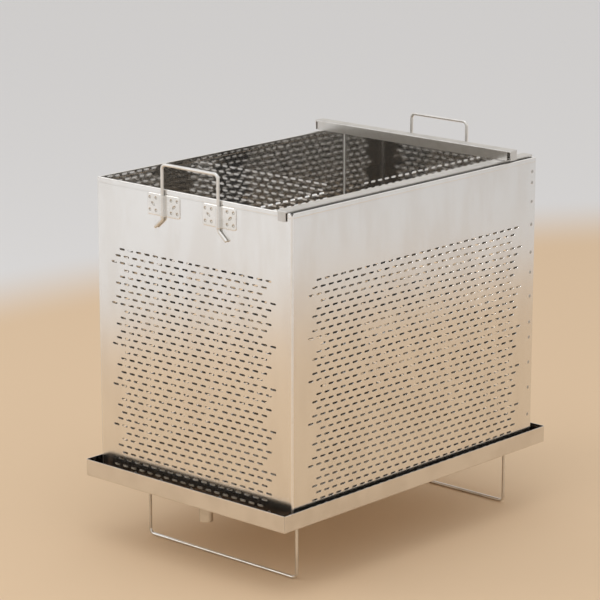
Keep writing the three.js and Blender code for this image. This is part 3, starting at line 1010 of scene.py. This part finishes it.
def makeTray():
    # One sheet on a loop of stations round the rim. Each one's line starts on the drain
    # hole's circle, runs out over the floor, turns up through the bend and climbs the wall.
    low, high = boxOf("tray_pan")
    spout = boxOf("drain_spout")
    drain = ((spout[0] + spout[1]) / 2)[:2]
    half = (high - low)[:2] / 2
    corner, bend = tray["corner"], tray["bend"]
    turn = np.radians([0, 22, 40, 45, 50, 68, 90])
    stations = []
    for quarter, (sx, sy) in enumerate(((1, -1), (1, 1), (-1, 1), (-1, -1))):
        for t in turn:
            angle = t + math.radians(-90 + 90 * quarter)
            centre = sx * (half[0] - corner), sy * (half[1] - corner)
            seam = 1.0 if abs(t - math.pi / 4) < 0.01 else 0.0
            nx, ny = math.cos(angle), math.sin(angle)
            stations.append((centre[0] + corner * nx, centre[1] + corner * ny, nx, ny, seam))
    # between the corners, where evenly turned rays from the drain meet the outline
    angle = np.arange(tray["rays"]) * 2 * np.pi / tray["rays"] + tray["rayTurn"]
    ray = np.stack([np.cos(angle), np.sin(angle)], 1)
    with np.errstate(divide="ignore"):
        reach = np.where(ray > 0, half - drain, -half - drain) / ray
    wall = np.argmin(np.abs(reach), 1)
    hit = drain + ray * np.abs(reach).min(1)[:, None]
    other = 1 - wall
    clear = np.abs(hit[np.arange(len(hit)), other]) < half[other] - corner - tray["rayClear"]
    for (x, y), side in zip(hit[clear], wall[clear]):
        stations.append((x, y, np.sign(x) if side == 0 else 0, np.sign(y) if side == 1 else 0, 0))
    stations = np.array(stations, float)
    order = np.argsort(np.arctan2(stations[:, 1] - drain[1], stations[:, 0] - drain[0]))
    stations = stations[order]
    plan, outward, seam = stations[:, :2], stations[:, 2:4], stations[:, 4]
    groove = plan - outward * (seam * tray["seamGroove"])[:, None]
    away = unit(plan - drain)
    turn = np.linspace(0, np.pi / 2, 6)
    rows, normals = [], []
    zero = np.zeros(len(plan))

    def addRow(place, height, tilt):
        rows.append(np.column_stack([place, zero + height]))
        normals.append(np.column_stack([outward * math.sin(tilt), zero - math.cos(tilt)]))

    beforeBend, aboveBend, belowEdge = tray["guards"]
    height = high[2] - low[2]
    addRow(drain + away * tray["hole"], 0, 0)
    addRow(drain + away * (tray["hole"] + tray["holeRim"]), 0, 0)
    addRow(plan - outward * (bend + beforeBend), 0, 0)
    for t in turn:
        addRow(plan - outward * bend * (1 - math.sin(t)), bend * (1 - math.cos(t)), t)
    addRow(groove, bend + aboveBend, np.pi / 2)
    addRow(groove, height - belowEdge, np.pi / 2)
    addRow(groove, height - seam * tray["cornerNotch"], np.pi / 2)
    points = np.stack(rows, 1) + [0, 0, low[2]]
    faces = gridFaces(len(plan), len(rows), around=True).reshape(-1, 4)
    points, inner, strip = thicken(points, np.stack(normals, 1), [faces], tray["sheet"])
    # the floor's finish goes on over the first step of the bend
    floor = np.arange(len(faces)) % (len(rows) - 1) < 4
    groups = [(faces, traySheet), (strip, traySheet)]
    # the inner walls get the darker sheet, painted shade
    groups += [(inner[0][floor], wetTraySheet), (inner[0][~floor], shadedTrayWallSheet)]
    piece = addMesh("folded_tray", points, groups)
    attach(piece, "tray")
    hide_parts("tray_pan")


print("tray")
makeTray()


# Drain spout

spout = {
    "sides": 56,
    "radius": 8.5,
    "wall": 1.2,
    "lipSheet": 0.8,
    "edge": 0.35,  # rounding of the lower end
    "bead": 1.3,  # fillet under the tray
    "swell": 0.28,  # how much wider it is inside the tray's hole
}


def makeSpout():
    # A profile turned about the drain's axis: down the bore, round the lower edge, up the
    # outside, out under the lip, round its rim and back over the top
    low, high = boxOf("drain_spout")
    centre = (low + high) / 2
    lip = (high[0] - low[0]) / 2
    outer, edge, bead = spout["radius"], spout["edge"], spout["bead"]
    inner, wide = outer - spout["wall"], outer + spout["swell"]
    underside = boxOf("tray_pan")[0][2]
    top, sheet = high[2], spout["lipSheet"]
    profile = np.array([
        (inner, top - 1.2), (inner, low[2] + 2 * edge), (inner, low[2] + edge),
        (inner + 0.3 * edge, low[2] + 0.3 * edge), (inner + edge, low[2]),
        (outer - edge, low[2]), (outer - 0.3 * edge, low[2] + 0.3 * edge), (outer, low[2] + edge),
        (outer, low[2] + 2 * edge), (outer, underside - bead - 0.4), (outer, underside - bead),
        (outer + 0.2 * bead, underside - 0.55 * bead), (wide, underside - 0.1),
        (wide, top - sheet), (lip - 0.3, top - sheet), (lip, top - 0.6 * sheet),
        (lip - 0.15, top - 0.2 * sheet), (lip - 0.5, top), (inner + 1.5, top),
        (inner + 0.9, top - 0.1), (inner + 0.3, top - 0.5),
    ])
    turn = np.arange(spout["sides"]) * 2 * np.pi / spout["sides"]
    ring = np.stack([np.cos(turn), np.sin(turn)], 1)
    sides, rows = len(turn), len(profile)
    flat = centre[:2] + ring[:, None] * profile[None, :, :1]
    points = np.concatenate([flat, np.tile(profile[None, :, 1:], (sides, 1, 1))], 2).reshape(-1, 3)
    faces = gridFaces(sides, rows, around=True, closed=True).reshape(-1, 4)
    piece = addMesh("spout_tube", points, [(faces, drawnTube)], sharpAngle=48)
    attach(piece, "tray")
    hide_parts("drain_spout")


print("drain spout")
makeSpout()
